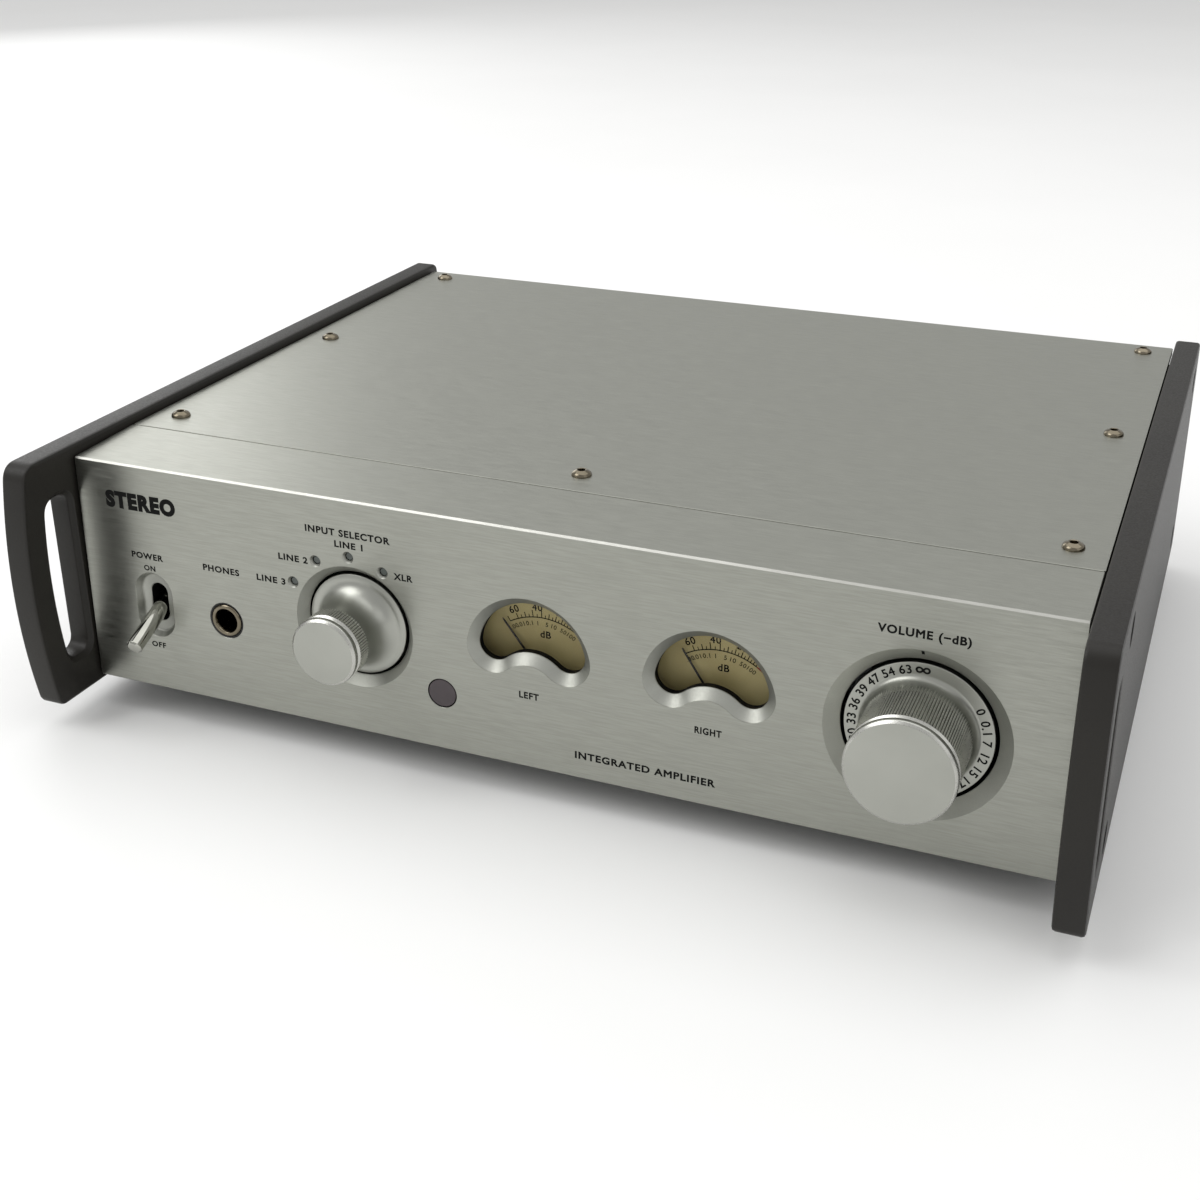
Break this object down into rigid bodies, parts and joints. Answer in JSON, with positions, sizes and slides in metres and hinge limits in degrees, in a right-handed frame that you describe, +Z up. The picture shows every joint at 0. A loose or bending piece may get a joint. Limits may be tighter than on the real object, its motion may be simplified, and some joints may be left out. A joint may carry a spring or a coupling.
{
  "type": "power amplifier",
  "caption": "Compact stereo amplifier with aluminium casing, handle side panels, two dial meters, selector, volume knob and rear sockets.",
  "frame": {"origin": "middle of the whole object's footprint, on the surface that its feet stand on", "axes": "+X to the right and +Y to the back, seen from the front; +Z up"},
  "size_m": [0.29, 0.264, 0.0812],
  "materials": {
    "brushed_aluminium": "brushed along the width, clear anodised, satin",
    "side_panel_paint": "fine textured charcoal paint, satin",
    "chassis_steel": "black paint, matt",
    "rear_panel_paint": "fine textured black paint, matt",
    "nickel_plate": "nickel plated, slightly warm",
    "foot_rubber": "moulded, matt",
    "turned_aluminium": "bead blasted with bright turned edges",
    "bare_steel": "zinc plated, satin",
    "lever_chrome": "polished",
    "black_plastic": "moulded, satin",
    "cap_plastic": "moulded clear over black, glossy",
    "infrared_window": "dark purple-grey, smooth",
    "clear_plastic": "clear, polished",
    "dial_card": "printed khaki card",
    "needle_black": "matt black",
    "circuit_board": "green solder mask",
    "heat_sink_aluminium": "extruded, dark anodised",
    "transformer_tape": "yellow winding tape"
  },
  "bodies": {
    "casing": {"front_panel": "brushed_aluminium", "top_cover": "brushed_aluminium", "side_panel_left": "side_panel_paint", "side_panel_right": "side_panel_paint", "bottom_chassis": "chassis_steel", "rear_panel": "rear_panel_paint", "cover_screw_1": "nickel_plate", "cover_screw_2": "nickel_plate", "cover_screw_3": "nickel_plate", "cover_screw_4": "nickel_plate", "cover_screw_5": "nickel_plate", "cover_screw_6": "nickel_plate", "cover_screw_7": "nickel_plate", "phone_jack_ring": "nickel_plate", "foot_1": "foot_rubber", "foot_2": "foot_rubber", "foot_3": "foot_rubber", "foot_4": "foot_rubber", "volume_potentiometer": "bare_steel", "volume_motor": "bare_steel", "selector_encoder": "bare_steel", "transformer_clamp": "bare_steel", "power_switch": "black_plastic", "phone_jack": "black_plastic", "meter_case_left": "black_plastic", "meter_case_right": "black_plastic", "speaker_terminal_block": "black_plastic", "xlr_socket_1": "black_plastic", "xlr_socket_2": "black_plastic", "line_socket_block": "black_plastic", "mains_inlet": "black_plastic", "remote_window": "infrared_window", "indicator_light_guide": "clear_plastic", "meter_window_left": "clear_plastic", "meter_window_right": "clear_plastic", "meter_dial_left": "dial_card", "meter_dial_right": "dial_card", "front_board": "circuit_board", "power_supply_board": "circuit_board", "amplifier_board": "circuit_board", "input_board": "circuit_board", "heat_sink": "heat_sink_aluminium", "transformer": "transformer_tape"},
    "volume_control": {"volume_knob": "turned_aluminium", "volume_shaft": "bare_steel"},
    "input_selector": {"selector_knob": "turned_aluminium", "selector_shaft": "bare_steel"},
    "power_lever": {"power_lever": "lever_chrome"},
    "meter_needle_left": {"meter_needle_left": "needle_black"},
    "meter_needle_right": {"meter_needle_right": "needle_black"},
    "speaker_washer_1": {"speaker_washer_1": "nickel_plate"},
    "speaker_cap_1": {"speaker_cap_1": "cap_plastic"},
    "speaker_washer_2": {"speaker_washer_2": "nickel_plate"},
    "speaker_cap_2": {"speaker_cap_2": "cap_plastic"},
    "speaker_washer_3": {"speaker_washer_3": "nickel_plate"},
    "speaker_cap_3": {"speaker_cap_3": "cap_plastic"},
    "speaker_washer_4": {"speaker_washer_4": "nickel_plate"},
    "speaker_cap_4": {"speaker_cap_4": "cap_plastic"},
    "xlr_latch_1": {"xlr_latch_1": "bare_steel"},
    "xlr_latch_2": {"xlr_latch_2": "bare_steel"}
  },
  "joints": [
    {"name": "volume_turn", "type": "hinge", "parent": "casing", "child": "volume_control", "pos_m": [0.1008, -0.1097, 0.0414], "axis": [0, 1, 0], "range_deg": [0, 300]},
    {"name": "selector_turn", "type": "hinge", "parent": "casing", "child": "input_selector", "pos_m": [-0.0502, -0.1097, 0.0414], "axis": [0, 1, 0], "continuous": true},
    {"name": "power_lever_tilt", "type": "hinge", "parent": "casing", "child": "power_lever", "pos_m": [-0.1147, -0.1029, 0.0363], "axis": [-1, 0, 0], "range_deg": [0, 48.6]},
    {"name": "needle_swing_left", "type": "hinge", "parent": "casing", "child": "meter_needle_left", "pos_m": [0.0007, -0.1011, 0.0337], "axis": [0, 1, 0], "range_deg": [0, 82], "stiffness_Nm_per_rad": 0.0001},
    {"name": "needle_swing_right", "type": "hinge", "parent": "casing", "child": "meter_needle_right", "pos_m": [0.0493, -0.1011, 0.0337], "axis": [0, 1, 0], "range_deg": [0, 82], "stiffness_Nm_per_rad": 0.0001},
    {"name": "speaker_cap_1_travel", "type": "slide", "parent": "casing", "child": "speaker_washer_1", "axis": [0, 1, 0], "range_m": [0, 0.005]},
    {"name": "speaker_cap_1_turn", "type": "hinge", "parent": "speaker_washer_1", "child": "speaker_cap_1", "pos_m": [-0.052, 0.1203, 0.044], "axis": [0, 1, 0], "range_deg": [0, 1445]},
    {"name": "speaker_cap_2_travel", "type": "slide", "parent": "casing", "child": "speaker_washer_2", "axis": [0, 1, 0], "range_m": [0, 0.005]},
    {"name": "speaker_cap_2_turn", "type": "hinge", "parent": "speaker_washer_2", "child": "speaker_cap_2", "pos_m": [-0.033, 0.1203, 0.044], "axis": [0, 1, 0], "range_deg": [0, 1445]},
    {"name": "speaker_cap_3_travel", "type": "slide", "parent": "casing", "child": "speaker_washer_3", "axis": [0, 1, 0], "range_m": [0, 0.005]},
    {"name": "speaker_cap_3_turn", "type": "hinge", "parent": "speaker_washer_3", "child": "speaker_cap_3", "pos_m": [-0.006, 0.1203, 0.044], "axis": [0, 1, 0], "range_deg": [0, 1445]},
    {"name": "speaker_cap_4_travel", "type": "slide", "parent": "casing", "child": "speaker_washer_4", "axis": [0, 1, 0], "range_m": [0, 0.005]},
    {"name": "speaker_cap_4_turn", "type": "hinge", "parent": "speaker_washer_4", "child": "speaker_cap_4", "pos_m": [0.013, 0.1203, 0.044], "axis": [0, 1, 0], "range_deg": [0, 1445]},
    {"name": "xlr_latch_1_press", "type": "slide", "parent": "casing", "child": "xlr_latch_1", "axis": [0, -1, 0], "range_m": [0, 0.0015], "stiffness_N_per_m": 300},
    {"name": "xlr_latch_2_press", "type": "slide", "parent": "casing", "child": "xlr_latch_2", "axis": [0, -1, 0], "range_m": [0, 0.0015], "stiffness_N_per_m": 300}
  ],
  "couplings": [
    {"joint": "speaker_cap_1_turn", "follows": "speaker_cap_1_travel", "rad_per_m": 5026.5},
    {"joint": "speaker_cap_2_turn", "follows": "speaker_cap_2_travel", "rad_per_m": 5026.5},
    {"joint": "speaker_cap_3_turn", "follows": "speaker_cap_3_travel", "rad_per_m": 5026.5},
    {"joint": "speaker_cap_4_turn", "follows": "speaker_cap_4_travel", "rad_per_m": 5026.5}
  ]
}
